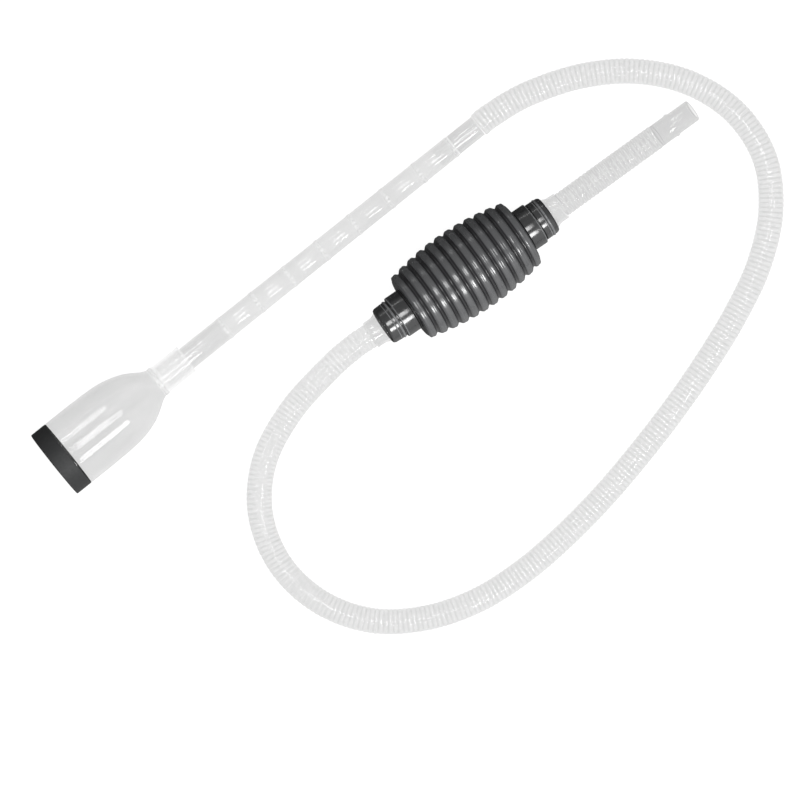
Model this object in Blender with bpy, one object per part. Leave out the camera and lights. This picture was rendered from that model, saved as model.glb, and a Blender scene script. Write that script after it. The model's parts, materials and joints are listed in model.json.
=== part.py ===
"""Gravel vacuum siphon with a bellows pump, lying on a table.

A clear suction bell with a strainer guard sits on a jointed stem.  A corrugated hose runs from the
stem in a wide loop to a hand pump: a ribbed bellows between two valve housings.  A short outlet
hose leaves the other end of the pump.

Frame: +Z up, the table is z = 0, +X is the pump's heading toward its outlet.
Lengths are in millimetres and angles in degrees; MM turns a length into Blender's metres.
"""

from math import cos, pi, radians, sin, sqrt

import bmesh
import bpy
from mathutils import Matrix, Vector

MM = 0.001
GAP = 0.3                     # clearance between solids that touch on the real object

# Layout on the table
PUMP_XY = (57.3, -27.0)       # middle of the bellows
PUMP_TILT = 7.15              # the pump lies on its fattest rib and on the outlet hose's end
WAND_XY = (-232.4, 19.4)      # centre of the strainer guard's front face
WAND_HEADING = 4.36           # bell and stem, seen from above, counted from +X
WAND_TILT = 2.84              # down toward the hose
FLOOR_CLEARANCE = 0.05

# Strainer guard, bell and stem, counted along the wand from the guard's front face
GUARD_LENGTH = 11.7
GUARD_RADIUS = 24.0
GUARD_BORE = 20.8
BAR_COUNT = 5
BAR_WIDTH = 2.2
BAR_PITCH = 6.8
BAR_DEPTH = 2.4
RIM_RADIUS = 22.6             # the bell's stepped rim, inside the guard
RIM_START = 4.6
NECK_START = 84.0
NECK_END = 109.2
NECK_RADIUS = 9.9
NECK_BORE = 8.95
STEM_RADIUS = 7.9             # in the bell's neck; the stem tapers to STEM_TIP_RADIUS
STEM_TIP_RADIUS = 7.4
STEM_WALL = 0.7
STEM_START = 90.0
KNUCKLE_START = 140.7         # the first of the stem's moulded rings
KNUCKLE_PITCH = 26.76
KNUCKLE_COUNT = 8
KNUCKLE_HEIGHT = 0.4
STEM_END = 329.2
WAND_LENGTH = 350.2           # where the corrugated hose begins
CONNECTOR_BORE = 5.4

# Hoses
HOSE_RADIUS = 8.25
HOSE_HEIGHT = HOSE_RADIUS + FLOOR_CLEARANCE
HOSE_POINTS = 64
OUTLET_SWING = 1.6            # the outlet hose leans sideways in its cuff
OUTLET_PIVOT = 68.0
OUTLET_END = 180.0
OUTLET_RIDGE = 163.3
OUTLET_PLAIN = 150.3

# Pump, counted outward from the middle of the bellows
RIB_COUNT = 12
RIB_PITCH = 7.5
RIB_RADIUS_MIDDLE = 28.6
RIB_RADIUS_END = 23.6
RIB_DEPTH = 2.1
RIB_SHOULDER = 1.9           # each rib's crest is rounded to this far on both sides of it
BELLOWS_WALL = 1.5
BELLOWS_HALF = 43.6           # the end walls cut the outer ribs short
NECK_HOLE = 10.6              # hole in the bellows' end wall
CHAMBER_RADIUS = 8.2          # valve chamber in each housing
CHAMBER_START = 39.3
CHAMBER_END = 53.2
COLLAR_START = 44.8
COLLAR_END = 54.2
COLLAR_RADIUS = 14.5
SPIGOT_END = 58.0
NUT_START = 55.1
NUT_END = 64.6
NUT_BORE = 11.6
NUT_STEP = 61.9               # shoulder in the nut that pushes the grip ring
CUFF_START = 59.4
CUFF_CONE = 65.1
CUFF_END = 74.4
CUFF_RADIUS = 9.2
CUFF_BORE = 8.55
HOSE_INSERT = 62.2            # where a hose ends inside its cuff

# Valves: a seat, and a flap that hangs from a pin and opens toward the outlet
SEAT_THICKNESS = 2.0
OUTLET_SEAT_FACE = 41.6
INLET_SEAT_FACE = -50.9
PIN_HEIGHT = 5.9
PIN_RADIUS = 0.5
HINGE_RADIUS = 1.35
HINGE_BORE = 0.8
FLAP_RADIUS = 5.0
FLAP_THICKNESS = 1.0

# Route of the long hose on the table: x, y, height of its centre
HOSE_ROUTE = (
    (153.0, 44.9, HOSE_HEIGHT),
    (187.5, 35.3, HOSE_HEIGHT),
    (218.7, 18.1, HOSE_HEIGHT),
    (243.2, -7.2, HOSE_HEIGHT),
    (257.4, -39.7, HOSE_HEIGHT),
    (256.8, -75.1, HOSE_HEIGHT),
    (240.5, -106.2, HOSE_HEIGHT),
    (214.4, -130.6, HOSE_HEIGHT),
    (183.4, -148.7, HOSE_HEIGHT),
    (150.9, -163.4, HOSE_HEIGHT),
    (117.5, -176.2, HOSE_HEIGHT),
    (83.5, -187.3, HOSE_HEIGHT),
    (49.1, -196.8, HOSE_HEIGHT),
    (14.0, -203.9, HOSE_HEIGHT),
    (-21.5, -208.0, HOSE_HEIGHT),
    (-57.1, -206.8, HOSE_HEIGHT),
    (-91.5, -197.3, HOSE_HEIGHT),
    (-121.6, -178.5, HOSE_HEIGHT + 0.1),
    (-142.0, -149.5, HOSE_HEIGHT + 1.2),
    (-148.9, -115.3, HOSE_HEIGHT + 5.2),
    (-140.6, -81.5, HOSE_HEIGHT + 12.6),
    (-118.4, -54.8, HOSE_HEIGHT + 21.6),
    (-86.4, -38.3, HOSE_HEIGHT + 29.4),
    (-51.6, -29.8, HOSE_HEIGHT + 33.6),
)


# ---------------------------------------------------------------------------------- materials

def plastic(name, color, roughness, alpha=1.0):
    """A Principled material; alpha below 1 makes it clear."""
    material = bpy.data.materials.new(name)
    material.use_nodes = True
    shader = material.node_tree.nodes["Principled BSDF"]
    shader.inputs["Base Color"].default_value = (*color, 1.0)
    shader.inputs["Roughness"].default_value = roughness
    shader.inputs["Metallic"].default_value = 0.0
    shader.inputs["Alpha"].default_value = alpha
    material.diffuse_color = (*color, alpha)
    return material


def make_materials():
    """The object's plastics and rubbers, by name."""
    return {
        "guard": plastic("guard_charcoal", (0.035, 0.036, 0.038), 0.55),
        "clear": plastic("clear_shell", (0.88, 0.9, 0.91), 0.08, 0.35),
        "stem": plastic("clear_tube", (0.86, 0.88, 0.89), 0.15, 0.4),
        "hose": plastic("milky_hose", (0.82, 0.84, 0.85), 0.35, 0.6),
        "bellows": plastic("bellows_grey", (0.09, 0.092, 0.096), 0.42),
        "collar": plastic("collar_charcoal", (0.03, 0.031, 0.034), 0.2),
        "seal": plastic("black_rubber", (0.012, 0.012, 0.012), 0.6),
        "valve": plastic("white_silicone", (0.75, 0.75, 0.73), 0.5),
        "pin": plastic("pin_plastic", (0.2, 0.2, 0.21), 0.4),
    }


# ------------------------------------------------------------------------------ mesh building

def frame(name, location, tilt, heading):
    """An empty whose +X axis points along `heading` and dips by `tilt`."""
    empty = bpy.data.objects.new(name, None)
    empty.location = [value * MM for value in location]
    empty.rotation_euler = (0.0, radians(tilt), radians(heading))
    bpy.context.collection.objects.link(empty)
    return empty


def add_mesh(name, mesh_data, parent, material, origin=(0.0, 0.0, 0.0)):
    """Turn a bmesh in millimetres into an object on `parent`, shaded smooth but for its edges."""
    bmesh.ops.scale(mesh_data, vec=(MM, MM, MM), verts=mesh_data.verts)
    bmesh.ops.recalc_face_normals(mesh_data, faces=mesh_data.faces)
    mesh = bpy.data.meshes.new(name)
    mesh_data.to_mesh(mesh)
    mesh_data.free()
    mesh.materials.append(material)
    mesh.shade_smooth()
    mesh.set_sharp_from_angle(angle=radians(35))
    piece = bpy.data.objects.new(name, mesh)
    piece.parent = parent
    piece.location = [value * MM for value in origin]
    bpy.context.collection.objects.link(piece)
    return piece


def turn(profile, sides, center=(0.0, 0.0, 0.0)):
    """Spin a closed outline of (x, radius) points about the X axis through `center`."""
    shape = bmesh.new()
    corners = [shape.verts.new((x, 0.0, radius)) for x, radius in profile]
    edges = [shape.edges.new((corners[i - 1], corners[i])) for i in range(len(corners))]
    bmesh.ops.spin(
        shape, geom=corners + edges, cent=(0, 0, 0), axis=(1, 0, 0), dvec=(0, 0, 0),
        angle=2 * pi, steps=sides, use_merge=True, use_duplicate=False,
    )
    bmesh.ops.remove_doubles(shape, verts=shape.verts, dist=1e-4)
    bmesh.ops.translate(shape, vec=center, verts=shape.verts)
    return shape


def turned(name, profile, sides, parent, material, origin=(0.0, 0.0, 0.0), center=(0.0, 0.0, 0.0)):
    """A turned object; see turn()."""
    return add_mesh(name, turn(profile, sides, center), parent, material, origin)


def ring(name, start, end, inner, outer, sides, parent, material):
    """A plain ring between two places along the parent's X axis."""
    outline = [(start, inner), (start, outer), (end, outer), (end, inner)]
    return turned(name, outline, sides, parent, material)


def boxes(corners):
    """Separate boxes, each from its low and its high corner."""
    shape = bmesh.new()
    for low, high in corners:
        made = bmesh.ops.create_cube(shape, size=1.0)["verts"]
        size = [b - a for a, b in zip(low, high)]
        middle = [(a + b) / 2 for a, b in zip(low, high)]
        bmesh.ops.scale(shape, vec=size, verts=made)
        bmesh.ops.translate(shape, vec=middle, verts=made)
    return shape


def cross_rod(radius, half_length, sides):
    """A round rod along Y through the origin."""
    shape = bmesh.new()
    bmesh.ops.create_cone(
        shape, cap_ends=True, segments=sides, radius1=radius, radius2=radius,
        depth=2 * half_length, matrix=Matrix.Rotation(pi / 2, 4, "X"),
    )
    return shape


def combine(piece, operation, shape, label, origin=(0.0, 0.0, 0.0)):
    """Join `shape` to the piece, or cut it away, with a Boolean that keeps its tool hidden."""
    tool = add_mesh(piece.name + "_" + label, shape, piece.parent, piece.data.materials[0], origin)
    tool.hide_render = True
    tool.display_type = "WIRE"
    modifier = piece.modifiers.new(label, "BOOLEAN")
    modifier.operation = operation
    modifier.solver = "EXACT"
    modifier.object = tool


# ------------------------------------------------------------------------------------- the wand

def bell_outer():
    """Outside of the bell from its stepped rim to the neck's end."""
    return [
        (RIM_START, RIM_RADIUS),
        (GUARD_LENGTH + GAP, RIM_RADIUS),
        (GUARD_LENGTH + GAP, GUARD_RADIUS),
        (43.2, 23.7),
        (50.2, 23.3),
        (55.7, 22.6),
        (60.7, 21.5),
        (65.9, 19.9),
        (71.2, 17.7),
        (76.2, 14.7),
        (80.2, 12.0),
        (NECK_START, 10.2),
        (NECK_END, NECK_RADIUS),
    ]


def bell_inner():
    """Inside of the bell, back from the neck's end to the mouth."""
    return [
        (NECK_END, NECK_BORE),
        (NECK_START - 0.8, NECK_BORE),
        (79.0, 10.9),
        (75.0, 13.4),
        (70.1, 16.4),
        (65.0, 18.6),
        (60.0, 20.1),
        (55.2, 21.2),
        (50.0, 21.9),
        (43.2, 22.2),
        (GUARD_LENGTH, 22.2),
        (RIM_START, 21.5),
    ]


def wand_height():
    """Height of the wand's axis at the guard's face, so that its fattest part meets the table."""
    tilt = radians(WAND_TILT)
    reach = max(x * sin(tilt) + radius * cos(tilt) for x, radius in bell_outer())
    return reach + FLOOR_CLEARANCE


def make_guard(wand, look):
    """The strainer guard: a sleeve over the bell's rim and a slotted face."""
    outline = [
        (0.0, GUARD_BORE),
        (0.0, GUARD_RADIUS - 0.5),
        (0.5, GUARD_RADIUS),
        (GUARD_LENGTH, GUARD_RADIUS),
        (GUARD_LENGTH, RIM_RADIUS + GAP),
        (RIM_START - GAP, RIM_RADIUS + GAP),
        (RIM_START - GAP, GUARD_BORE),
    ]
    guard = turned("strainer_guard", outline, 36, wand, look["guard"])
    bars = []
    for index in range(BAR_COUNT):
        middle = (index - (BAR_COUNT - 1) / 2) * BAR_PITCH
        half = sqrt((GUARD_BORE + 0.8) ** 2 - middle ** 2)
        bars.append(((0.3, middle - BAR_WIDTH / 2, -half), (0.3 + BAR_DEPTH, middle + BAR_WIDTH / 2, half)))
    combine(guard, "UNION", boxes(bars), "bars")
    reach = GUARD_BORE + 0.8
    rail = [((0.6, -reach, -BAR_WIDTH / 2), (0.4 + BAR_DEPTH + 0.6, reach, BAR_WIDTH / 2))]
    combine(guard, "UNION", boxes(rail), "rail")


def stem_radius(x):
    """Outer radius of the tapered stem, between its rings."""
    share = (x - STEM_START) / (STEM_END - STEM_START)
    return STEM_RADIUS + (STEM_TIP_RADIUS - STEM_RADIUS) * share


def make_stem(wand, look):
    """The stem tube with its moulded rings, and the sleeves that join it at both ends."""
    outline = [(STEM_START, STEM_RADIUS)]
    for index in range(KNUCKLE_COUNT):
        middle = KNUCKLE_START + index * KNUCKLE_PITCH
        outline.append((middle - 1.1, stem_radius(middle)))
        outline.append((middle, stem_radius(middle) + KNUCKLE_HEIGHT))
        if index < KNUCKLE_COUNT - 1:
            outline.append((middle + 1.1, stem_radius(middle)))
    outline.append((STEM_END, STEM_TIP_RADIUS))
    outline.append((STEM_END, STEM_TIP_RADIUS - STEM_WALL))
    outline.append((STEM_START, STEM_RADIUS - STEM_WALL))
    turned("stem_tube", outline, 20, wand, look["stem"])
    sleeve_start = NECK_START + 2.0
    sleeve_end = KNUCKLE_START - 1.0
    plug = stem_radius(sleeve_end) - STEM_WALL - GAP
    ring("bell_connector", sleeve_start, sleeve_end, CONNECTOR_BORE, plug, 20, wand, look["clear"])
    ring("neck_bushing", NECK_START + 1.0, NECK_END - 1.0, STEM_RADIUS + GAP, NECK_BORE - GAP, 20, wand, look["clear"])
    plug = STEM_TIP_RADIUS - STEM_WALL - GAP
    sleeve = [
        (316.0, CONNECTOR_BORE),
        (316.0, plug),
        (STEM_END + GAP, plug),
        (STEM_END + GAP, 7.15),
        (WAND_LENGTH - GAP, 7.15),
        (WAND_LENGTH - GAP, CONNECTOR_BORE),
    ]
    turned("stem_hose_connector", sleeve, 20, wand, look["clear"])


def make_wand(wand, look):
    """Everything on the wand's axis."""
    turned("suction_bell", bell_outer() + bell_inner(), 32, wand, look["clear"])
    make_guard(wand, look)
    make_stem(wand, look)


# ------------------------------------------------------------------------------------- the pump

def rib_radius(x):
    """Crest radius of the barrel-shaped bellows at x."""
    share = x / ((RIB_COUNT - 1) * RIB_PITCH / 2)
    return RIB_RADIUS_MIDDLE - (RIB_RADIUS_MIDDLE - RIB_RADIUS_END) * share ** 2


def pump_height():
    """Height of the bellows' middle, so that its lowest crest meets the table."""
    tilt = radians(PUMP_TILT)
    crests = [(index + 0.5 - RIB_COUNT / 2) * RIB_PITCH for index in range(RIB_COUNT)]
    return max(x * sin(tilt) + rib_radius(x) * cos(tilt) for x in crests) + FLOOR_CLEARANCE


def make_bellows(pump, look):
    """The ribbed bellows, hollow, with a hole in each end wall for a housing's neck."""
    outer = [(-BELLOWS_HALF, NECK_HOLE), (-BELLOWS_HALF, RIB_RADIUS_END - 1.8)]
    inner = [(-BELLOWS_HALF + BELLOWS_WALL, NECK_HOLE), (-BELLOWS_HALF + BELLOWS_WALL, RIB_RADIUS_END - 3.6)]
    for index in range(RIB_COUNT):
        x = (index + 0.5 - RIB_COUNT / 2) * RIB_PITCH
        for step in (-RIB_SHOULDER, 0.0, RIB_SHOULDER):
            if abs(x + step) < BELLOWS_HALF - GAP:
                outer.append((x + step, rib_radius(x) - abs(step) * 0.25))
        inner.append((x, rib_radius(x) - BELLOWS_WALL))
        if index < RIB_COUNT - 1:
            valley = x + RIB_PITCH / 2
            outer.append((valley, rib_radius(valley) - RIB_DEPTH))
            inner.append((valley, rib_radius(valley) - RIB_DEPTH - BELLOWS_WALL))
    outer += [(BELLOWS_HALF, RIB_RADIUS_END - 1.8), (BELLOWS_HALF, NECK_HOLE)]
    inner += [(BELLOWS_HALF - BELLOWS_WALL, RIB_RADIUS_END - 3.6), (BELLOWS_HALF - BELLOWS_WALL, NECK_HOLE)]
    turned("bellows", outer + inner[::-1], 28, pump, look["bellows"])


def make_pump_end(side, name, bead, pump, look):
    """One end of the pump: side is 1 at the outlet and -1 at the inlet; the nut's bead is at `bead`."""

    def along(points):
        return [(side * x, radius) for x, radius in points]

    housing = along([
        (CHAMBER_START, CHAMBER_RADIUS),
        (CHAMBER_START, 15.0),
        (BELLOWS_HALF - BELLOWS_WALL - GAP, 15.0),
        (BELLOWS_HALF - BELLOWS_WALL - GAP, NECK_HOLE - GAP),
        (COLLAR_START, NECK_HOLE - GAP),
        (COLLAR_START, COLLAR_RADIUS - 0.5),
        (COLLAR_START + 0.5, COLLAR_RADIUS),
        (COLLAR_END - 0.8, COLLAR_RADIUS),
        (COLLAR_END, COLLAR_RADIUS - 0.8),
        (COLLAR_END, 12.2),
        (COLLAR_END + 0.6, 12.2),
        (COLLAR_END + 0.6, NUT_BORE - 0.4),
        (SPIGOT_END, NUT_BORE - 0.4),
        (SPIGOT_END, 6.8),
        (CHAMBER_END, 6.8),
        (CHAMBER_END, CHAMBER_RADIUS),
    ])
    turned(name + "_housing", housing, 24, pump, look["collar"])
    ring(name + "_bellows_ring", side * (BELLOWS_HALF + GAP), side * (COLLAR_START - GAP),
         NECK_HOLE + 0.1, 14.6, 24, pump, look["seal"])
    nut = along([
        (NUT_START, NUT_BORE),
        (NUT_START, 13.2),
        (bead - 0.6, 13.2),
        (bead, 13.6),
        (bead + 0.6, 13.1),
        (NUT_END - 1.3, 12.9),
        (NUT_END, 12.0),
        (NUT_END, 11.0),
        (NUT_STEP, 11.0),
        (NUT_STEP, NUT_BORE),
    ])
    turned(name + "_nut", nut, 24, pump, look["collar"])
    ring(name + "_grip_ring", side * (NUT_STEP - 1.2), side * (NUT_STEP - GAP), 9.5, 11.3, 20, pump, look["valve"])
    ring(name + "_seal", side * (SPIGOT_END + GAP), side * (CUFF_START - GAP), 7.2, 10.8, 20, pump, look["seal"])
    cuff = along([
        (CUFF_START, 6.8),
        (CUFF_START, 10.9),
        (CUFF_START + 1.0, 10.9),
        (CUFF_START + 1.0, CUFF_RADIUS),
        (CUFF_CONE - 0.1, CUFF_RADIUS),
        (CUFF_CONE, 10.7),
        (CUFF_CONE + 2.7, CUFF_RADIUS),
        (CUFF_END, CUFF_RADIUS),
        (CUFF_END, CUFF_BORE),
        (HOSE_INSERT - GAP, CUFF_BORE),
        (HOSE_INSERT - GAP, 6.8),
    ])
    turned(name + "_hose_cuff", cuff, 20, pump, look["clear"])


def make_valve(name, face, pump, look):
    """A check valve whose seat ends at x = face: the seat with two ears, the flap and its pin."""
    pin_x = face + GAP + HINGE_RADIUS
    seat = turned(
        name + "_valve_seat",
        [(face - SEAT_THICKNESS, 4.2), (face - SEAT_THICKNESS, 7.9), (face, 7.9), (face, 4.2)],
        20, pump, look["valve"],
    )
    ears = [
        ((face - 0.5, side * 2.8 - 0.6, 4.75), (pin_x + HINGE_RADIUS, side * 2.8 + 0.6, 7.15))
        for side in (-1, 1)
    ]
    combine(seat, "UNION", boxes(ears), "ears")
    combine(seat, "DIFFERENCE", cross_rod(HINGE_BORE, 5.0, 10), "bore", (pin_x, 0.0, PIN_HEIGHT))

    origin = (pin_x, 0.0, PIN_HEIGHT)
    flap = turned(
        name + "_valve_flap",
        [
            (-HINGE_RADIUS, 0.0), (-HINGE_RADIUS, FLAP_RADIUS),
            (FLAP_THICKNESS - HINGE_RADIUS, FLAP_RADIUS), (FLAP_THICKNESS - HINGE_RADIUS, 0.0),
        ],
        20, pump, look["seal"], origin, (0.0, 0.0, -PIN_HEIGHT - 0.3),
    )
    tab = [((0.1 - HINGE_RADIUS, -1.8, -2.6), (FLAP_THICKNESS - HINGE_RADIUS - 0.1, 1.8, 0.0))]
    combine(flap, "UNION", boxes(tab), "tab", origin)
    combine(flap, "UNION", cross_rod(HINGE_RADIUS, 1.9, 12), "barrel", origin)
    combine(flap, "DIFFERENCE", cross_rod(HINGE_BORE, 5.0, 10), "bore", origin)
    add_mesh(name + "_flap_pin", cross_rod(PIN_RADIUS, 3.9, 10), pump, look["pin"], origin)


def make_outlet_hose(pump, look):
    """The short hose after the pump, with a moulded ridge and a plain end, leaning in its cuff."""
    lean = bpy.data.objects.new("outlet_axis", None)
    lean.parent = pump
    lean.location = (OUTLET_PIVOT * MM, 0.0, 0.0)
    lean.rotation_euler = (0.0, 0.0, radians(OUTLET_SWING))
    bpy.context.collection.objects.link(lean)
    outline = [
        (HOSE_INSERT, 6.6),
        (HOSE_INSERT, HOSE_RADIUS - 0.1),
        (OUTLET_PLAIN, HOSE_RADIUS - 0.1),
        (OUTLET_PLAIN + 0.8, 7.7),
        (OUTLET_RIDGE - 0.8, 7.7),
        (OUTLET_RIDGE, 8.2),
        (OUTLET_RIDGE + 0.8, 7.4),
        (OUTLET_END - 0.8, 7.4),
        (OUTLET_END, 7.0),
        (OUTLET_END, 5.9),
    ]
    turned("outlet_hose", outline, 20, lean, look["hose"], (-OUTLET_PIVOT, 0.0, 0.0))


def make_pump(pump, look):
    """Everything on the pump's axis."""
    make_bellows(pump, look)
    make_pump_end(-1, "inlet", NUT_START + 1.2, pump, look)
    make_pump_end(1, "outlet", NUT_START + 5.6, pump, look)
    make_valve("inlet", INLET_SEAT_FACE, pump, look)
    make_valve("outlet", OUTLET_SEAT_FACE, pump, look)
    make_outlet_hose(pump, look)


# ------------------------------------------------------------------------------------- the hose

def smooth_curve(points, count):
    """`count` evenly spaced points on the Catmull-Rom curve through `points`."""
    knots = [points[0] * 2 - points[1]] + points + [points[-1] * 2 - points[-2]]
    fine = []
    steps = 24
    for index in range(1, len(knots) - 2):
        before, start, end, after = knots[index - 1:index + 3]
        for step in range(steps):
            t = step / steps
            fine.append(0.5 * (
                2 * start + (end - before) * t
                + (2 * before - 5 * start + 4 * end - after) * t ** 2
                + (3 * start - before - 3 * end + after) * t ** 3
            ))
    fine.append(points[-1])
    travelled = [0.0]
    for first, second in zip(fine, fine[1:]):
        travelled.append(travelled[-1] + (second - first).length)
    result = []
    place = 0
    for number in range(count):
        target = travelled[-1] * number / (count - 1)
        while place < len(fine) - 2 and travelled[place + 1] < target:
            place += 1
        share = (target - travelled[place]) / (travelled[place + 1] - travelled[place])
        result.append(fine[place].lerp(fine[place + 1], share))
    return result


def make_hose(wand, pump, look):
    """The long hose from the stem's connector to the inlet cuff, as a plain tube."""
    bpy.context.view_layer.update()
    start = [wand.matrix_world @ Vector(((WAND_LENGTH + step) * MM, 0.0, 0.0)) for step in (0.0, 10.0)]
    end = [pump.matrix_world @ Vector((-(HOSE_INSERT + step) * MM, 0.0, 0.0)) for step in (26.0, 12.0, 0.0)]
    route = start + [Vector(point) * MM for point in HOSE_ROUTE] + end
    curve = bpy.data.curves.new("hose", "CURVE")
    curve.dimensions = "3D"
    curve.bevel_depth = HOSE_RADIUS * MM
    curve.bevel_resolution = 3
    curve.use_fill_caps = True
    spline = curve.splines.new("POLY")
    points = smooth_curve(route, HOSE_POINTS)
    spline.points.add(len(points) - 1)
    for place, point in zip(spline.points, points):
        place.co = (*point, 1.0)
    curve.materials.append(look["hose"])
    hose = bpy.data.objects.new("hose", curve)
    bpy.context.collection.objects.link(hose)


def main():
    """Clear the scene and build the siphon."""
    for old in list(bpy.data.objects):
        bpy.data.objects.remove(old, do_unlink=True)
    look = make_materials()
    wand = frame("wand_axis", (*WAND_XY, wand_height()), WAND_TILT, WAND_HEADING)
    pump = frame("pump_axis", (*PUMP_XY, pump_height()), PUMP_TILT, 0.0)
    make_wand(wand, look)
    make_pump(pump, look)
    make_hose(wand, pump, look)


main()
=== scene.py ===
"""Looks of the gravel vacuum siphon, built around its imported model.

The wand (guard, bell, stem), the pump (bellows, housings, nuts, cuffs) and the outlet hose are
turned shapes, each in its own frame whose +X axis runs along the part.  The long hose is swept
along its route.  Profiles are in millimetres, along the axis and out from it; MM turns them into
metres.  Every piece is built straight in the shared frame, so no object is moved or turned.
"""

import json
from math import cos, exp, pi, radians, sin

import bmesh
import bpy
import numpy as np
from mathutils import Matrix, Vector


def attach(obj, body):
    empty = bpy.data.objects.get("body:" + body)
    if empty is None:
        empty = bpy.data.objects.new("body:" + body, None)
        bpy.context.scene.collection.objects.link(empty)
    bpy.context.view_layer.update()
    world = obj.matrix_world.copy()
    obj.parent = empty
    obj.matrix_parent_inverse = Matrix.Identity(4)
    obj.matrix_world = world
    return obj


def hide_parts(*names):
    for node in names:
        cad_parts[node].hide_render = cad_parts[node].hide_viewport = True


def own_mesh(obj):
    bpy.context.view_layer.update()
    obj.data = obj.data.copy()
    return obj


MM = 0.001
TABLE_REACH = 4.0             # in metres, from its middle
TABLE_GLOW = 0.93

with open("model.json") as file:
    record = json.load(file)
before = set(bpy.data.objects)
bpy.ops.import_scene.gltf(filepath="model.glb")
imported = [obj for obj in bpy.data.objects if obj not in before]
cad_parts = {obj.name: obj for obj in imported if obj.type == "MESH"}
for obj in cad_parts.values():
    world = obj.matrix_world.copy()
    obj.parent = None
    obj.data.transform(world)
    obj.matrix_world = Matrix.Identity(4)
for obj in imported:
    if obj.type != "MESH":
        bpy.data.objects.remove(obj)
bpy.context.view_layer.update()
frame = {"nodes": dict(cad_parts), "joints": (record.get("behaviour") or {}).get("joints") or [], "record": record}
joints = {joint["name"]: joint for joint in frame["joints"]}
mounts = {mount["name"]: mount for mount in frame["record"]["mounts"]}

# Along the wand, from the guard's front face
GUARD_LENGTH = 11.7
GUARD_RADIUS = 24.0
GUARD_BORE = 20.8
GUARD_SOCKET = 22.9           # the guard's wider bore, around the bell's rim
SOCKET_START = 4.3
BAR_COUNT = 5
BAR_WIDTH = 2.2
BAR_PITCH = 6.8
BAR_DEPTH = 2.4
RIM_START = 4.6
RIM_RADIUS = 22.6
BELL_RADIUS = 24.0
BELL_BORE = 22.2
SHOULDER_START = 43.2
NECK_START = 84.0
NECK_END = 109.2
NECK_BORE = 8.95
STEM_START = 90.0
STEM_END = 329.2
STEM_RADIUS = 7.9
STEM_TIP_RADIUS = 7.4
STEM_WALL = 0.7
SLEEVE_BORE = 5.4             # bore of the sleeves at both ends of the stem
SLEEVE_RADIUS = 7.15          # outer radius of the far sleeve where it shows
KNUCKLE_START = 140.7         # the first of the stem's moulded rings
KNUCKLE_PITCH = 26.76
KNUCKLE_COUNT = 8
WAND_LENGTH = 350.2

# Outward from the middle of the bellows
RIB_COUNT = 12
RIB_PITCH = 7.5
RIB_RADIUS_MIDDLE = 28.6
RIB_RADIUS_END = 23.6
RIB_DEPTH = 2.0
BELLOWS_WALL = 1.5
BELLOWS_HALF = 43.6
NECK_HOLE = 10.6              # hole in the bellows' end wall
END_WALL_RADIUS = 21.4
COLLAR_START = 44.8
COLLAR_END = 54.2
COLLAR_RADIUS = 14.5
NUT_START = 55.1
NUT_END = 64.6
NUT_RADIUS = 13.2             # where the slightly tapered nut starts
HOSE_INSERT = 62.2
CUFF_CONE = 65.1
CUFF_END = 74.4
OUTLET_PLAIN = 150.3
OUTLET_RIDGE = 163.3
OUTLET_END = 180.0

# Hoses
HOSE_RADIUS = 8.25
HOSE_HEIGHT = 8.75
HOSE_WALL = 0.45
PLEAT_PITCH = 3.1             # the hose's corrugations
PLEAT_DEPTH = 0.5
PLEAT_SHARES = (0.0, 0.09, 0.18, 0.27, 0.4, 0.6, 0.73, 0.82, 0.91)   # rings of points in a pleat

# Route of the long hose on the table: x, y, height of its centre, in millimetres
HOSE_ROUTE = (
    (153.0, 44.9, HOSE_HEIGHT),
    (187.5, 35.3, HOSE_HEIGHT),
    (218.7, 18.1, HOSE_HEIGHT),
    (243.2, -7.2, HOSE_HEIGHT),
    (257.4, -39.7, HOSE_HEIGHT),
    (256.8, -75.1, HOSE_HEIGHT),
    (240.5, -106.2, HOSE_HEIGHT),
    (214.4, -130.6, HOSE_HEIGHT),
    (183.4, -148.7, HOSE_HEIGHT),
    (150.9, -163.4, HOSE_HEIGHT),
    (117.5, -176.2, HOSE_HEIGHT),
    (83.5, -187.3, HOSE_HEIGHT),
    (49.1, -196.8, HOSE_HEIGHT),
    (14.0, -203.9, HOSE_HEIGHT),
    (-21.5, -208.0, HOSE_HEIGHT),
    (-57.1, -206.8, HOSE_HEIGHT),
    (-91.5, -197.3, HOSE_HEIGHT),
    (-121.6, -178.5, HOSE_HEIGHT + 0.1),
    (-142.0, -149.5, HOSE_HEIGHT + 1.2),
    (-148.9, -115.3, HOSE_HEIGHT + 5.2),
    (-140.6, -81.5, HOSE_HEIGHT + 12.6),
    (-118.4, -54.8, HOSE_HEIGHT + 21.6),
    (-86.4, -38.3, HOSE_HEIGHT + 29.4),
    (-51.6, -29.8, HOSE_HEIGHT + 33.6),
)

# Which of its list of materials a stretch of a piece has
SKIN, INSIDE = 0, 1
# bell and stem: their rings are painted whitish and speckled, painted highlight
PAINTED_GLINT_RING, NECK_CLEAR = 2, 3    # bell and stem
TIP_CLEAR = 2                 # far sleeve
# collars and nuts: beads and edges take a pale copy, painted highlight
PAINTED_EDGE_HIGHLIGHT = 1                      # collars and nuts
# bellows: the folds take a darker copy of the rubber, painted shade
PAINTED_FOLD_SHADE = 1                      # bellows
# the pleat roots of both hoses take darker copies: painted shade
HOSE_ROOT_SHADE, OUTLET_CREST, OUTLET_ROOT_SHADE, OUTLET_TIP = 2, 3, 4, 5


# ------------------------------------------------------------------------------------ camera

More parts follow.
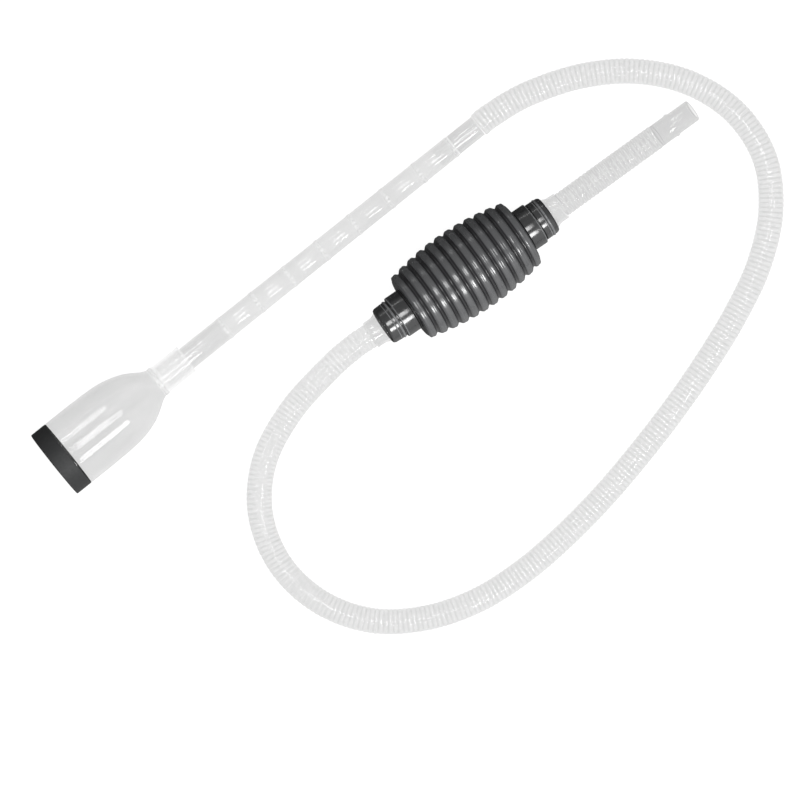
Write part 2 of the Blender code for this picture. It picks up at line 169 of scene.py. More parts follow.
def make_camera():
    """A long lens almost straight above the table, turned so that the pump points up right."""
    right = Vector((0.8261, -0.5635, 0.0))
    aim = Vector((-0.0257, -0.0718, 0.0))
    lean = radians(2.0)
    distance = 4.313
    back = Vector((sin(lean), 0.0, cos(lean)))
    side = (right - back * right.dot(back)).normalized()
    data = bpy.data.cameras.new("camera")
    data.lens = 300.0
    data.sensor_width = 36.0
    data.clip_start = 0.1
    data.clip_end = 50.0
    camera = bpy.data.objects.new("camera", data)
    bpy.context.scene.collection.objects.link(camera)
    turn = Matrix((side, back.cross(side), back)).transposed().to_4x4()
    camera.matrix_world = Matrix.Translation(aim + back * distance) @ turn
    bpy.context.scene.camera = camera


# ----------------------------------------------------------------------------------- frames

def turned_frame(axis, names, at_start):
    """The frame of turned CAD nodes: +X along their axis, from its start or from its middle."""
    x = Vector(axis).normalized()
    y = Vector((0, 0, 1)).cross(x).normalized()
    turn = Matrix((x, y, x.cross(y)))
    points = [turn @ vertex.co for name in names for vertex in frame["nodes"][name].data.vertices]
    low = [min(point[i] for point in points) for i in range(3)]
    high = [max(point[i] for point in points) for i in range(3)]
    origin = (Vector(low) + Vector(high)) / 2
    if at_start:
        origin.x = low[0]
    back = turn.transposed()
    return Matrix.Translation(back @ origin) @ back.to_4x4()


WAND = turned_frame(-Vector(joints["guard_pull"]["axis"]), ["strainer_guard"], True)
PUMP = turned_frame(-Vector(joints["pump_squeeze"]["axis"]), ["inlet_nut", "outlet_nut"], False)
OUTLET = turned_frame(mounts["outlet_face"]["axis"], ["outlet_hose"], True)


# -------------------------------------------------------------------------------- mesh building

def smooth_curve(points, count):
    """`count` evenly spaced points on the Catmull-Rom curve through `points`, as an array."""
    knots = np.array(points, float)
    knots = np.vstack([2 * knots[0] - knots[1], knots, 2 * knots[-1] - knots[-2]])
    t = np.linspace(0.0, 1.0, 40, endpoint=False)[:, None]
    spans = [
        0.5 * (
            2 * b + (c - a) * t + (2 * a - 5 * b + 4 * c - d) * t ** 2
            + (3 * b - a - 3 * c + d) * t ** 3
        )
        for a, b, c, d in zip(knots, knots[1:], knots[2:], knots[3:])
    ]
    fine = np.vstack(spans + [knots[-2:-1]])
    travelled = distances(fine)
    places = np.linspace(0.0, travelled[-1], count)
    return np.column_stack([np.interp(places, travelled, column) for column in fine.T])


def distances(line):
    """Distance travelled along a line of points, at each of them."""
    steps = np.linalg.norm(np.diff(line, axis=0), axis=1)
    return np.concatenate([[0.0], np.cumsum(steps)])


def rounded(corners, steps=4):
    """An outline from (x, radius, reach) corners; each corner is eased over its reach."""
    outline = []
    for index, (x, radius, reach) in enumerate(corners):
        if reach == 0:
            outline.append((x, radius))
            continue
        corner = Vector((x, radius))
        before = Vector(corners[index - 1][:2]) - corner
        after = Vector(corners[(index + 1) % len(corners)][:2]) - corner
        start = corner + before.normalized() * min(reach, before.length * 0.49)
        end = corner + after.normalized() * min(reach, after.length * 0.49)
        for step in range(steps + 1):
            t = step / steps
            outline.append(tuple(start * (1 - t) ** 2 + corner * 2 * t * (1 - t) + end * t ** 2))
    return outline


def curve_through(points, count):
    """An outline's smooth stretch, as a list of (x, radius) points."""
    return [tuple(point) for point in smooth_curve(points, count)]


def add_piece(name, shape, body, materials, replaced=(), sharp=35):
    """Turn a bmesh in shared-frame metres into a smooth-shaded piece that rides on `body`."""
    mesh = bpy.data.meshes.new(name)
    bmesh.ops.recalc_face_normals(shape, faces=shape.faces)
    shape.to_mesh(mesh)
    shape.free()
    for material in materials:
        mesh.materials.append(material)
    mesh.shade_smooth()
    mesh.set_sharp_from_angle(angle=radians(sharp))
    piece = bpy.data.objects.new(name, mesh)
    bpy.context.scene.collection.objects.link(piece)
    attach(piece, body)
    if replaced:
        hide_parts(*replaced)
    return piece


def ring_mesh(rings, looks):
    """A bmesh of quads between successive rings of points, closed around and from last to first."""
    shape = bmesh.new()
    loops = [[shape.verts.new(point) for point in ring] for ring in rings]
    for loop, ahead, look in zip(loops, loops[1:] + loops[:1], looks):
        for side, vertex in enumerate(loop):
            face = shape.faces.new((vertex, loop[side - 1], ahead[side - 1], ahead[side]))
            face.material_index = look
    return shape


def turned(name, outline, sides, place, body, materials, replaced=(), sharp=35, look=None,
           hidden_from=None):
    """Spin a closed outline of (x, radius) points in millimetres about the X axis of `place`.

    look(x, radius) picks the material of each stretch of the outline, from its middle.  The
    stretches from point `hidden_from` on are an inner wall, in the INSIDE material.
    """
    angles = np.linspace(0.0, 2 * pi, sides, endpoint=False)
    around = np.column_stack([np.zeros(sides), np.sin(angles), np.cos(angles)])
    turn = np.array(place.to_3x3())
    origin = np.array(place.translation)
    rings = []
    for x, radius in outline:
        local = around * radius * MM + np.array([x * MM, 0.0, 0.0])
        rings.append((local @ turn.T + origin).tolist())
    looks = [
        look((a[0] + b[0]) / 2, (a[1] + b[1]) / 2) if look else SKIN
        for a, b in zip(outline, outline[1:] + outline[:1])
    ]
    if hidden_from is not None:
        looks[hidden_from:] = [INSIDE] * (len(looks) - hidden_from)
    return add_piece(name, ring_mesh(rings, looks), body, materials, replaced, sharp)


def swept(name, path, radii, looks, sides, body, materials, replaced=()):
    """A hollow tube with a ring of points of the given outer radius and look at each path point."""
    along = np.gradient(path, axis=0)
    along /= np.linalg.norm(along, axis=1)[:, None]
    across = np.cross([0.0, 0.0, 1.0], along)
    across /= np.linalg.norm(across, axis=1)[:, None]
    over = np.cross(along, across)
    angles = np.linspace(0.0, 2 * pi, sides, endpoint=False)[:, None]
    outer = [
        (point + radius * (a * np.cos(angles) + o * np.sin(angles))).tolist()
        for point, radius, a, o in zip(path, radii, across, over)
    ]
    inner = [
        (point + (radius - HOSE_WALL * MM) * (a * np.cos(angles) + o * np.sin(angles))).tolist()
        for point, radius, a, o in zip(path, radii, across, over)
    ]
    looks = list(looks) + [INSIDE] * len(inner)
    shape = ring_mesh(outer + inner[::-1], looks)
    return add_piece(name, shape, body, materials, replaced, 60)


# ------------------------------------------------------------------------------------ materials

class Look:
    """A Principled material with its nodes, made by the small methods below."""

    def __init__(self, name, color, roughness, **uniform):
        self.material = bpy.data.materials.new(name)
        self.material.use_nodes = True
        self.tree = self.material.node_tree
        self.shader = self.tree.nodes["Principled BSDF"]
        self.color = color
        self.shader.inputs["Base Color"].default_value = (*color, 1.0)
        self.shader.inputs["Roughness"].default_value = roughness
        for socket, value in uniform.items():
            self.shader.inputs[socket.replace("_", " ")].default_value = value

    def add(self, kind, **settings):
        """A new node of the given kind."""
        node = self.tree.nodes.new(kind)
        for name, value in settings.items():
            setattr(node, name, value)
        return node

    def join(self, output, socket):
        """Link an output to an input socket."""
        self.tree.links.new(output, socket)

    def noise(self, scale, stretch=(1.0, 1.0, 1.0), detail=4.0, place=None):
        """Noise of `scale` cells to the metre, stretched along the axes of the frame `place`."""
        turn = self.add("ShaderNodeMapping")
        if place:
            turn.inputs["Rotation"].default_value = place.to_3x3().inverted().to_euler()
        squeeze = self.add("ShaderNodeMapping")
        squeeze.inputs["Scale"].default_value = [scale * value for value in stretch]
        texture = self.add("ShaderNodeTexNoise")
        texture.inputs["Scale"].default_value = 1.0
        texture.inputs["Detail"].default_value = detail
        self.join(self.add("ShaderNodeTexCoord").outputs["Object"], turn.inputs["Vector"])
        self.join(turn.outputs["Vector"], squeeze.inputs["Vector"])
        self.join(squeeze.outputs["Vector"], texture.inputs["Vector"])
        return texture.outputs["Fac"]

    def ranged(self, value, low, high, start=0.3, end=0.7):
        """Spread a 0 to 1 value between two figures."""
        node = self.add("ShaderNodeMapRange")
        figures = {"From Min": start, "From Max": end, "To Min": low, "To Max": high}
        for socket, figure in figures.items():
            node.inputs[socket].default_value = figure
        self.join(value, node.inputs["Value"])
        return node.outputs["Result"]

    def vary_color(self, value, dark, light):
        """Darken and lighten the base colour along a 0 to 1 value."""
        mix = self.add("ShaderNodeMix", data_type="RGBA")
        colors = [socket for socket in mix.inputs if socket.type == "RGBA"]
        for socket, factor in zip(colors, (dark, light)):
            socket.default_value = (*[min(1.0, channel * factor) for channel in self.color], 1.0)
        self.join(value, mix.inputs["Factor"])
        result = next(output for output in mix.outputs if output.type == "RGBA")
        self.join(result, self.shader.inputs["Base Color"])

    def vary_roughness(self, value, low, high):
        """Spread the roughness over a range along a 0 to 1 value."""
        self.join(self.ranged(value, low, high), self.shader.inputs["Roughness"])

    def vary_alpha(self, value, low, high):
        """Spread the opacity over a range along a 0 to 1 value."""
        self.join(self.ranged(value, low, high), self.shader.inputs["Alpha"])

    def bump(self, value, depth_mm):
        """Raise the surface by up to a depth along a 0 to 1 value."""
        node = self.add("ShaderNodeBump")
        node.inputs["Strength"].default_value = 1.0
        node.inputs["Distance"].default_value = depth_mm * MM
        self.join(value, node.inputs["Height"])
        self.join(node.outputs["Normal"], self.shader.inputs["Normal"])


def guard_look():
    """Satin charcoal plastic, faintly mottled."""
    look = Look("guard_plastic", (0.018, 0.0185, 0.019), 0.6, Specular_IOR_Level=0.2)
    look.vary_color(look.noise(300), 0.85, 1.2)
    look.vary_roughness(look.noise(900), 0.48, 0.64)
    look.bump(look.noise(2500, detail=2.0), 0.03)
    return look.material


def collar_look():
    """Glossy charcoal plastic with soft sink marks."""
    look = Look("collar_plastic", (0.018, 0.0185, 0.019), 0.14, Specular_IOR_Level=0.65)
    look.vary_color(look.noise(200), 0.8, 1.25)
    look.vary_roughness(look.noise(500, detail=6.0), 0.09, 0.24)
    look.bump(look.noise(260, detail=3.0), 0.05)
    return look.material


def painted_edge_highlight_look():
    """The same plastic, painted pale along its beads and edges as a painted highlight."""
    look = Look("collar_edge_painted_highlight", (0.095, 0.097, 0.1), 0.3)
    look.vary_color(look.noise(900), 0.5, 1.6)
    look.vary_roughness(look.noise(900, detail=6.0), 0.18, 0.4)
    look.bump(look.noise(900, detail=3.0), 0.03)
    return look.material


def bellows_look(name, color, gloss):
    """Satin elastomer with fine moulding streaks that run around the ribs."""
    look = Look(name, color, 0.28, Specular_IOR_Level=gloss)
    streaks = look.noise(1.0, (3000.0, 50.0, 50.0), 3.0, PUMP)
    look.vary_color(look.noise(160), 0.85, 1.18)
    look.vary_roughness(streaks, 0.13, 0.28)
    look.bump(streaks, 0.07)
    return look.material


def seal_look():
    """Dull black rubber."""
    look = Look("seal_rubber", (0.010, 0.010, 0.011), 0.55)
    look.vary_color(look.noise(400), 0.7, 1.4)
    look.vary_roughness(look.noise(800), 0.45, 0.7)
    return look.material


def valve_look():
    """Pale silicone."""
    look = Look("valve_silicone", (0.74, 0.74, 0.72), 0.5)
    look.vary_color(look.noise(350), 0.93, 1.03)
    look.vary_roughness(look.noise(900), 0.42, 0.6)
    return look.material


def pin_look():
    """Grey plastic of the hinge pins."""
    look = Look("pin_plastic", (0.2, 0.2, 0.21), 0.4)
    look.vary_color(look.noise(500), 0.85, 1.15)
    look.vary_roughness(look.noise(900), 0.3, 0.5)
    return look.material


def clear_look(name, tone, alpha, roughness, ripple, place=None, cells=60.0, uneven=0.15):
    """Clear or milky plastic: a thin grey veil with sharp highlights and flow lines along it."""
    look = Look(name, (tone, tone, tone), roughness, IOR=1.7)
    flow = (0.4, 1.0, 1.0) if place else (1.0, 1.0, 1.0)
    cloud = look.noise(cells, flow, 3.0, place)
    look.vary_color(cloud, 0.85, 1.15)
    look.vary_roughness(look.noise(700), roughness * 0.7, roughness * 1.4)
    look.bump(look.noise(cells * 2.5, flow, 2.0, place), ripple)
    look.vary_alpha(cloud, alpha * (1 - uneven), alpha * (1 + uneven))
    return look.material


def make_materials():
    """Every material by name; a clear part has one for its skin and a fainter one inside."""
    inside = clear_look("inside_clear", 0.1, 0.02, 0.1, 0.02)
    # whitish, speckled ring faces: painted highlight of the glints the rings catch
    painted_glint_ring = clear_look("ring_painted_glint", 0.35, 0.22, 0.1, 0.08, None, 600.0, 0.5)
    return {
        "guard": [guard_look()],
        # the pale copy is a painted highlight along beads and edges
        "collar": [collar_look(), painted_edge_highlight_look()],
        "bellows": [
            bellows_look("bellows_rubber", (0.050, 0.051, 0.053), 0.7),
            # the darker, duller copy is painted shade in the folds of the bellows
            bellows_look("bellows_fold_shade", (0.016, 0.016, 0.017), 0.35),
        ],
        "seal": [seal_look()],
        "valve": [valve_look()],
        "pin": [pin_look()],
        "bell": [
            clear_look("bell_clear", 0.1, 0.2, 0.05, 0.03, WAND), inside, painted_glint_ring,
            clear_look("neck_clear", 0.35, 0.1, 0.06, 0.06, WAND),
        ],
        "sleeve": [
            clear_look("sleeve_clear", 0.1, 0.04, 0.08, 0.03), inside,
            clear_look("tip_clear", 0.1, 0.24, 0.06, 0.03, WAND),
        ],
        "cuff": [clear_look("cuff_clear", 0.12, 0.21, 0.05, 0.03), inside],
        "stem": [clear_look("stem_clear", 0.1, 0.175, 0.06, 0.05, WAND), inside, painted_glint_ring],
        "hose": [
            # the root copies are darker and denser than the crest ones: painted shade in the pleat roots
            clear_look("hose_crest", 0.12, 0.165, 0.04, 0.03, None, 300.0, 0.12), inside,
            clear_look("hose_root_painted_shade", 0.08, 0.195, 0.05, 0.03, None, 300.0, 0.12),
            clear_look("outlet_crest", 0.1, 0.2, 0.04, 0.03, None, 300.0, 0.1),
            clear_look("outlet_root_painted_shade", 0.08, 0.27, 0.05, 0.03, None, 300.0, 0.1),
            clear_look("outlet_end", 0.1, 0.25, 0.04, 0.001, OUTLET, 60.0, 0.05),
        ],
    }


# ------------------------------------------------------------------------------------- the hoses

def pleat_radius(distance):
    """Hose radius in millimetres at a distance along it: flat crests between narrow roots."""
    share = np.mod(distance / PLEAT_PITCH, 1.0)
    from_root = np.minimum(share, 1.0 - share) * PLEAT_PITCH
    rise = np.clip((from_root - 0.15) / 0.75, 0.0, 1.0)
    return HOSE_RADIUS - PLEAT_DEPTH * (1.0 - rise * rise * (3 - 2 * rise))


def pleat_places(length):
    """The rings of points that a corrugated stretch needs, and its whole number of pleats."""
    count = int(round(length / PLEAT_PITCH))
    places = (np.arange(count)[:, None] + np.array(PLEAT_SHARES)).ravel() * length / count
    return np.append(places, length), count


def hose_part(index):
    """The look of a corrugated stretch after ring `index`: clearer on a crest, darker and denser in a root as
    painted shade.
    """
    return SKIN if 2 <= index % len(PLEAT_SHARES) <= 6 else HOSE_ROOT_SHADE


def make_hose(looks):
    """The long corrugated hose from the stem's sleeve to the inlet cuff."""
    start = [WAND @ Vector(((WAND_LENGTH + step) * MM, 0.0, 0.0)) for step in (0.0, 10.0)]
    start[1].z = start[0].z   # the table keeps the hose from following the stem's slope
    end = [PUMP @ Vector((-(HOSE_INSERT + step) * MM, 0.0, 0.0)) for step in (26.0, 12.0, 0.0)]
    route = start + [Vector(point) * MM for point in HOSE_ROUTE] + end
    line = smooth_curve(route, 1200)
    travelled = distances(line)
    length = travelled[-1]
    places, count = pleat_places(length / MM)
    path = np.column_stack([np.interp(places * MM, travelled, column) for column in line.T])
    radii = pleat_radius(places * count * PLEAT_PITCH / (length / MM)) * MM
    covered = length / MM - (CUFF_END - HOSE_INSERT)
    picks = [INSIDE if place > covered else hose_part(index) for index, place in enumerate(places)]
    hose = swept(
        "hose_long", path, radii, picks, 32, "wand_and_inlet", looks["hose"], ["hose"],
    )
    tuple(start[0])


def make_outlet_hose(looks):
    """The short hose after the pump: corrugated, then plain, with a moulded ridge."""
    first = HOSE_INSERT + 3.0
    places, count = pleat_places(OUTLET_PLAIN - first)
    crests = pleat_radius(places * count * PLEAT_PITCH / places[-1]) - 0.1
    outer = [(first + place, radius) for place, radius in zip(places, crests)]
    plain = rounded([
        (OUTLET_PLAIN + 1.2, 7.7, 0.4),
        (OUTLET_RIDGE - 1.3, 7.7, 0.3),
        (OUTLET_RIDGE - 0.6, 8.3, 0.3),
        (OUTLET_RIDGE + 0.6, 8.3, 0.3),
        (OUTLET_RIDGE + 1.0, 7.4, 0.3),
        (OUTLET_END, 7.4, 1.6),
        (OUTLET_END, 5.9, 0.5),
        (OUTLET_RIDGE, 6.4, 0.0),
    ])
    hollow = [(OUTLET_PLAIN + 1.5, 7.1)] + [(x, radius - HOSE_WALL) for x, radius in outer[::-1]]
    outline = [(HOSE_INSERT, 7.7), (HOSE_INSERT, 8.1)] + outer + plain + hollow
    outline = [(x - HOSE_INSERT, radius) for x, radius in outline]

    def look(x, radius):
        if x < CUFF_END - HOSE_INSERT:
            return INSIDE
        if x > OUTLET_PLAIN - HOSE_INSERT:
            return OUTLET_TIP
        share = (x + HOSE_INSERT - first) * count / places[-1] % 1.0
        # roots take the darker copy, painted shade
        return OUTLET_CREST if 0.18 < share < 0.82 else OUTLET_ROOT_SHADE

    hose = turned(
        "hose_short", outline, 40, OUTLET, "pump_outlet", looks["hose"], ["outlet_hose"],
        60, look, len(outline) - len(hollow) - 2,
    )
    reach = OUTLET_END - HOSE_INSERT
    line = [OUTLET @ Vector((step * MM, 0.0, 0.0)) for step in np.linspace(0.0, reach, 24)]
    tuple(line[0])
    [tuple(point) for point in line]


# -------------------------------------------------------------------------------------- the wand

def make_bell(looks):
    """The clear bell, with its stepped rim, smooth shoulder and a neck ring painted whitish as a painted
    highlight.
    """
    rim = rounded([
        (RIM_START, RIM_RADIUS, 0.3),
        (GUARD_LENGTH + 0.3, RIM_RADIUS, 0.0),
        (GUARD_LENGTH + 0.3, BELL_RADIUS, 0.5),
        (28.0, BELL_RADIUS, 0.0),
    ])
    shoulder = curve_through([
        (SHOULDER_START, 23.7), (50.2, 23.3), (55.7, 22.6), (60.7, 21.5), (65.9, 19.9),
        (71.2, 17.7), (76.2, 14.7), (80.2, 12.0), (NECK_START, 10.2),
    ], 40)
    neck = rounded([
        (NECK_START + 0.6, 10.5, 0.3),
        (NECK_START + 3.0, 10.5, 0.3),
        (NECK_START + 3.4, 10.0, 0.0),
        (NECK_END - 2.2, 9.9, 0.0),
        (NECK_END - 2.0, 10.15, 0.2),
        (NECK_END, 10.15, 0.3),
        (NECK_END, NECK_BORE, 0.2),
    ])
    hollow = curve_through([
        (NECK_START - 0.8, NECK_BORE), (79.0, 10.9), (75.0, 13.4), (70.1, 16.4), (65.0, 18.6),
        (60.0, 20.1), (55.2, 21.2), (50.0, 21.9), (SHOULDER_START, BELL_BORE),
    ], 40)
    outer = rim + shoulder + neck
    outline = outer + hollow + [(GUARD_LENGTH, BELL_BORE), (RIM_START, 21.5)]

    def look(x, radius):
        if x < NECK_START:
            return SKIN
        # the neck ring takes the whitish copy, a painted highlight
        return PAINTED_GLINT_RING if x < NECK_START + 3.2 else NECK_CLEAR

    turned("bell_shell", outline, 96, WAND, "wand_and_inlet", looks["bell"],
           ["suction_bell"], look=look, hidden_from=len(outer) - 1)


def rounded_bars(corners, bevel):
    """Boxes with rounded edges in the wand's frame, from their low and high corners."""
    shape = bmesh.new()
    for low, high in corners:
        made = bmesh.ops.create_cube(shape, size=1.0)["verts"]
        size = [(b - a) * MM for a, b in zip(low, high)]
        middle = [(a + b) / 2 * MM for a, b in zip(low, high)]
        bmesh.ops.scale(shape, vec=size, verts=made)
        bmesh.ops.translate(shape, vec=middle, verts=made)
    bmesh.ops.bevel(
        shape, geom=shape.edges[:], offset=bevel * MM, segments=3, affect="EDGES", profile=0.5,
    )
    bmesh.ops.transform(shape, matrix=WAND, verts=shape.verts)
    return shape


def make_guard(looks):
    """The strainer guard: a sleeve, and a grille of bars over a cross rail."""
    outline = rounded([
        (0.0, GUARD_BORE, 0.3),
        (0.0, GUARD_RADIUS, 0.7),
        (GUARD_LENGTH, GUARD_RADIUS, 0.4),
        (GUARD_LENGTH, GUARD_SOCKET, 0.2),
        (SOCKET_START, GUARD_SOCKET, 0.0),
        (SOCKET_START, GUARD_BORE, 0.2),
    ])
    turned("guard_sleeve", outline, 96, WAND, "guard", looks["guard"], ["strainer_guard"])
    reach = GUARD_BORE + 0.8
    bars = [((0.6, -reach, -BAR_WIDTH / 2), (1.0 + BAR_DEPTH, reach, BAR_WIDTH / 2))]
    for index in range(BAR_COUNT):
        middle = (index - (BAR_COUNT - 1) / 2) * BAR_PITCH
        half = (reach ** 2 - middle ** 2) ** 0.5
        bars.append((
            (0.3, middle - BAR_WIDTH / 2, -half), (0.3 + BAR_DEPTH, middle + BAR_WIDTH / 2, half),
        ))
    add_piece("guard_grille", rounded_bars(bars, 0.5), "guard", looks["guard"], sharp=50)


def stem_radius(x):
    """Outer radius of the tapered stem, between its rings."""
    share = (x - STEM_START) / (STEM_END - STEM_START)
    return STEM_RADIUS + (STEM_TIP_RADIUS - STEM_RADIUS) * share


def make_stem(looks):
    """The tapered stem with its moulded double rings, and the sleeves at both ends."""
    knuckles = [KNUCKLE_START + index * KNUCKLE_PITCH for index in range(KNUCKLE_COUNT)]
    outer = [
        (STEM_START, STEM_RADIUS - 0.1), (STEM_START + 0.3, STEM_RADIUS), (NECK_END + 0.1, 7.86),
    ]
    for middle in knuckles:
        for step in range(-6, 7):
            bulge = 0.55 * sin(pi * (step + 6) / 6) ** 2
            outer.append((middle + step * 0.22, stem_radius(middle) + bulge))
    outer = outer[:-6] + [(STEM_END - 0.3, STEM_TIP_RADIUS), (STEM_END, STEM_TIP_RADIUS - 0.3)]
    inner = [(STEM_END, STEM_TIP_RADIUS - STEM_WALL), (STEM_START, STEM_RADIUS - STEM_WALL)]

    def look(x, radius):
        if radius < stem_radius(x) - 0.4 or x < NECK_END:
            return INSIDE
        # the rings take the whitish copy, a painted highlight
        return PAINTED_GLINT_RING if any(abs(x - middle) < 1.3 for middle in knuckles) else SKIN

    turned("stem_shell", outer + inner, 64, WAND, "wand_and_inlet", looks["stem"],
           ["stem_tube"], look=look)

    def sleeve(name, corners, node, look):
        turned(name, rounded(corners), 64, WAND, "wand_and_inlet", looks["sleeve"],
               [node], look=look)

    first_end = KNUCKLE_START - 1.0
    plug = stem_radius(first_end) - STEM_WALL - 0.3
    sleeve("bell_sleeve", [
        (NECK_START + 2.0, SLEEVE_BORE, 0.2), (NECK_START + 2.0, plug, 0.4), (NECK_END, plug, 0.0),
        (first_end, plug, 0.4), (first_end, SLEEVE_BORE, 0.2),
    ], "bell_connector", lambda x, radius: INSIDE if x < NECK_END or radius < plug - 0.5 else SKIN)
    sleeve("neck_ring", [
        (NECK_START + 1.0, STEM_RADIUS + 0.3, 0.1), (NECK_START + 1.0, NECK_BORE - 0.3, 0.1),
        (NECK_END - 1.0, NECK_BORE - 0.3, 0.1), (NECK_END - 1.0, STEM_RADIUS + 0.3, 0.1),
    ], "neck_bushing", lambda x, radius: INSIDE)
    plug = STEM_TIP_RADIUS - STEM_WALL - 0.3
    near, ledge, far = STEM_END - 13.2, STEM_END + 0.3, WAND_LENGTH - 0.3
    sleeve("hose_sleeve", [
        (near, SLEEVE_BORE, 0.2), (near, plug, 0.4), (ledge, plug, 0.0),
        (ledge, SLEEVE_RADIUS, 0.3), (far, SLEEVE_RADIUS, 0.2), (far, SLEEVE_BORE, 0.2),
    ], "stem_hose_connector",
           lambda x, radius: INSIDE if x < STEM_END or radius < 7.0 else TIP_CLEAR)


# -------------------------------------------------------------------------------------- the pump

def rib_radius(x):
    """Crest radius of the barrel-shaped bellows at x."""
    share = x / ((RIB_COUNT - 1) * RIB_PITCH / 2)
    return RIB_RADIUS_MIDDLE - (RIB_RADIUS_MIDDLE - RIB_RADIUS_END) * share ** 2


def rib_share(x):
    """0 on a crest of the bellows and 1 in a fold."""
    return abs((x / RIB_PITCH) % 1.0 - 0.5) * 2


def rib_profile(x):
    """Outer radius of the bellows at x: round crests with a faint dimple, and open folds."""
    share = rib_share(x)
    dip = RIB_DEPTH * (0.5 - 0.5 * cos(pi * share ** 1.6))
    dimple = 0.2 * exp(-(share / 0.2) ** 2)
    return rib_radius(x) - dip - dimple


def make_bellows(looks):
    """The ribbed bellows, on a mesh of its own."""
    steps = 22
    inside = BELLOWS_HALF - 0.8
    reach = RIB_COUNT * steps // 2
    places = [x for x in np.arange(-reach, reach + 1) * RIB_PITCH / steps if abs(x) < inside]
    outer = [(x, rib_profile(x)) for x in places]
    inner = [
        (x, rib_radius(x) - RIB_DEPTH - BELLOWS_WALL) for x in places[::-4] if abs(x) < inside - 1.5
    ]
    half = BELLOWS_HALF
    left = rounded([
        (-half + BELLOWS_WALL, NECK_HOLE, 0.2), (-half, NECK_HOLE, 0.2),
        (-half, END_WALL_RADIUS, 1.2),
    ])
    right = rounded([
        (half, END_WALL_RADIUS, 1.2), (half, NECK_HOLE, 0.2), (half - BELLOWS_WALL, NECK_HOLE, 0.2),
    ])
    outline = left[:-1] + outer + right[1:]
    outline += [(half - BELLOWS_WALL, 18.0)] + inner + [(-half + BELLOWS_WALL, 18.0)]
    bellows = turned(
        "bellows_body", outline, 128, PUMP, "wand_and_inlet", looks["bellows"],
        ["bellows"], 70,
        # stretches deep in a fold take the darker copy: painted shade
        lambda x, radius: PAINTED_FOLD_SHADE if abs(x) < half - 2.0 and rib_share(x) > 0.64 else SKIN,
    )
    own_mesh(bellows)


def nut_radius(x):
    """Outer radius of a nut between its bead and its fine line."""
    return NUT_RADIUS - 0.035 * (x - NUT_START)


def nut_outside(bead):
    """Corners of a nut's outside: a fine line and a raised bead around a slightly tapered body."""
    corners = [(NUT_START, 11.6, 0.1), (NUT_START, NUT_RADIUS, 0.3)]
    for place, width, height in sorted([(bead, 0.6, 0.45), (NUT_START + 3.8, 0.3, 0.15)]):
        body = nut_radius(place)
        corners += [
            (place - width - 0.15, body, 0.1), (place - width / 2, body + height, 0.15),
            (place + width / 2, body + height, 0.15), (place + width + 0.15, body, 0.1),
        ]
    return corners + [(NUT_END - 1.3, 12.85, 0.25), (NUT_END, 12.1, 0.3), (NUT_END, 11.0, 0.3)]


def make_pump_end(side, name, bead, body, ring_body, nut_body, looks):
    """One end of the pump: side is 1 at the outlet and -1 at the inlet, with the nut's bead at
    `bead`."""

    def part(label, corners, sides, on, look, node, pick=None):
        outline = rounded([(side * x, radius, reach) for x, radius, reach in corners])
        turned(name + label, outline, sides, PUMP, on, looks[look], [name + node], look=pick)

    part("_collar", [
        (39.3, 8.2, 0.2), (39.3, 15.0, 0.2), (41.8, 15.0, 0.2), (41.8, 10.3, 0.0),
        (COLLAR_START, 10.3, 0.0), (COLLAR_START, COLLAR_RADIUS, 0.5),
        (COLLAR_END, COLLAR_RADIUS, 0.7), (COLLAR_END, 12.2, 0.1),
        (54.8, 12.2, 0.1), (54.8, 11.2, 0.0), (58.0, 11.2, 0.3),
        (58.0, 6.8, 0.3), (53.2, 6.8, 0.2), (53.2, 8.2, 0.0),
    ], 96, body, "collar", "_housing",
         # the collar's outer edge takes the pale copy, a painted highlight
         lambda x, radius: PAINTED_EDGE_HIGHLIGHT if abs(x) > COLLAR_END - 0.6 and radius > 13.9 else SKIN)
    part("_ring", [
        (43.9, 10.7, 0.1), (43.9, 14.7, 0.2), (44.5, 14.7, 0.2), (44.5, 10.7, 0.1),
    ], 64, body, "seal", "_bellows_ring")
    part("_cap", nut_outside(bead) + [(61.9, 11.0, 0.1), (61.9, 11.6, 0.1)],
         96, nut_body, "collar", "_nut",
         # the nut's beads take the pale copy, a painted highlight
         lambda x, radius: PAINTED_EDGE_HIGHLIGHT if radius > nut_radius(abs(x)) + 0.08 else SKIN)
    part("_grip", [(60.7, 9.5, 0.1), (60.7, 11.3, 0.2), (61.6, 11.3, 0.2), (61.6, 9.5, 0.1)],
         48, ring_body, "valve", "_grip_ring")
    part("_gasket", [(58.3, 7.2, 0.1), (58.3, 10.8, 0.2), (59.1, 10.8, 0.2), (59.1, 7.2, 0.1)],
         48, body, "seal", "_seal")
    part("_cuff", [
        (59.4, 6.8, 0.1), (59.4, 10.9, 0.2), (60.4, 10.9, 0.2), (60.4, 9.2, 0.1),
        (CUFF_CONE - 0.1, 9.2, 0.1), (CUFF_CONE, 10.7, 0.3), (CUFF_CONE + 3.0, 9.25, 1.2),
        (CUFF_END, 9.15, 0.3), (CUFF_END, 8.55, 0.2), (61.9, 8.55, 0.1), (61.9, 6.8, 0.1),
    ], 64, body, "cuff", "_hose_cuff",
         lambda x, radius: INSIDE if radius < 8.8 else SKIN)


def dress_valves(looks):
    """The valves keep their CAD shapes, with their own materials."""
    for name in ("inlet", "outlet"):
        for node, look in (("_valve_seat", "valve"), ("_valve_flap", "seal"), ("_flap_pin", "pin")):
            data = frame["nodes"][name + node].data
            data.materials.clear()
            data.materials.append(looks[look][0])


# ------------------------------------------------------------------------------- floor and light

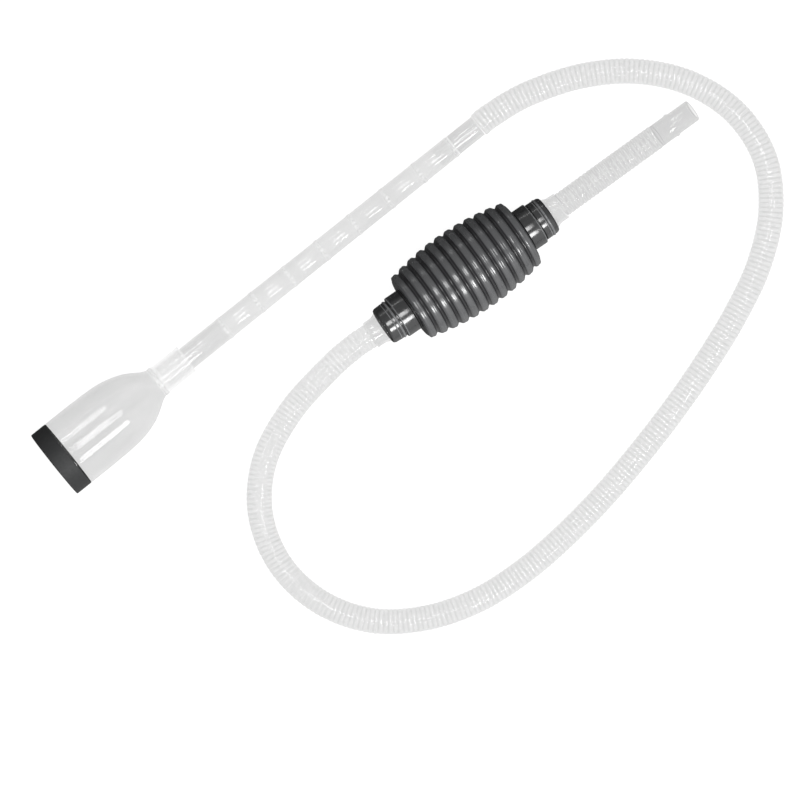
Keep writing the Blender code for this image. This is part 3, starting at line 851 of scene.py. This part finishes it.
def softbox(name, angle, size, radiance, distance=2.0, along=0.15):
    """A rectangular lamp over the object, `angle` degrees from the vertical toward -Y."""
    data = bpy.data.lights.new(name, "AREA")
    data.shape = "RECTANGLE"
    data.size, data.size_y = size
    data.energy = radiance * pi * size[0] * size[1]
    lamp = bpy.data.objects.new(name, data)
    lamp.visible_camera = False
    tilt = radians(angle)
    lamp.location = (along, -sin(tilt) * distance, cos(tilt) * distance)
    lamp.rotation_euler = (tilt, 0.0, 0.0)
    bpy.context.scene.collection.objects.link(lamp)


def make_room():
    """A room that is light above the table, dim below it, and lighter toward -Y."""
    world = bpy.data.worlds.new("room")
    world.use_nodes = True
    tree = world.node_tree
    background = tree.nodes["Background"]
    background.inputs["Color"].default_value = (1.0, 1.0, 1.0, 1.0)
    place = tree.nodes.new("ShaderNodeTexCoord")
    split = tree.nodes.new("ShaderNodeSeparateXYZ")
    light = tree.nodes.new("ShaderNodeMapRange")
    side = tree.nodes.new("ShaderNodeMapRange")
    sockets = ("From Min", "From Max", "To Min", "To Max")
    for node, values in ((light, (-0.1, 0.3, 0.06, 0.45)), (side, (0.0, -1.0, 0.0, 0.9))):
        for socket, value in zip(sockets, values):
            node.inputs[socket].default_value = value
    both = tree.nodes.new("ShaderNodeMath")
    both.operation = "ADD"
    tree.links.new(place.outputs["Generated"], split.inputs["Vector"])
    tree.links.new(split.outputs["Z"], light.inputs["Value"])
    tree.links.new(split.outputs["Y"], side.inputs["Value"])
    tree.links.new(light.outputs["Result"], both.inputs[0])
    tree.links.new(side.outputs["Result"], both.inputs[1])
    tree.links.new(both.outputs["Value"], background.inputs["Strength"])
    bpy.context.scene.world = world


def make_studio():
    """A pale, softly glowing table under two softboxes and a thin strip, in a grey room."""
    make_room()
    softbox("key_box", 42.0, (0.9, 0.6), 21.0)
    softbox("top_box", 3.0, (0.9, 0.65), 11.0)
    softbox("rim_strip", -64.0, (1.8, 0.04), 10.0)
    look = Look("table_top", (0.08, 0.08, 0.08), 0.7)
    look.shader.inputs["Emission Color"].default_value = (1.0, 1.0, 1.0, 1.0)
    look.shader.inputs["Emission Strength"].default_value = TABLE_GLOW
    look.vary_roughness(look.noise(40), 0.65, 0.75)
    mesh = bpy.data.meshes.new("table_top")
    far = TABLE_REACH
    mesh.from_pydata([(-far, -far, 0), (far, -far, 0), (far, far, 0), (-far, far, 0)], [], [(0, 1, 2, 3)])
    mesh.materials.append(look.material)
    table = bpy.data.objects.new("table_top", mesh)
    table.visible_glossy = False
    bpy.context.scene.collection.objects.link(table)


def main():
    scene = bpy.context.scene
    scene.view_settings.view_transform = "Standard"
    scene.cycles.transparent_max_bounces = 32
    make_camera()
    looks = make_materials()
    make_hose(looks)
    make_outlet_hose(looks)
    make_bell(looks)
    make_guard(looks)
    make_stem(looks)
    make_bellows(looks)
    make_pump_end(-1, "inlet", NUT_START + 1.2, "wand_and_inlet", "inlet_ring", "inlet_nut_body",
                  looks)
    make_pump_end(1, "outlet", NUT_START + 5.6, "pump_outlet", "outlet_ring", "outlet_nut_body",
                  looks)
    dress_valves(looks)
    make_studio()


main()
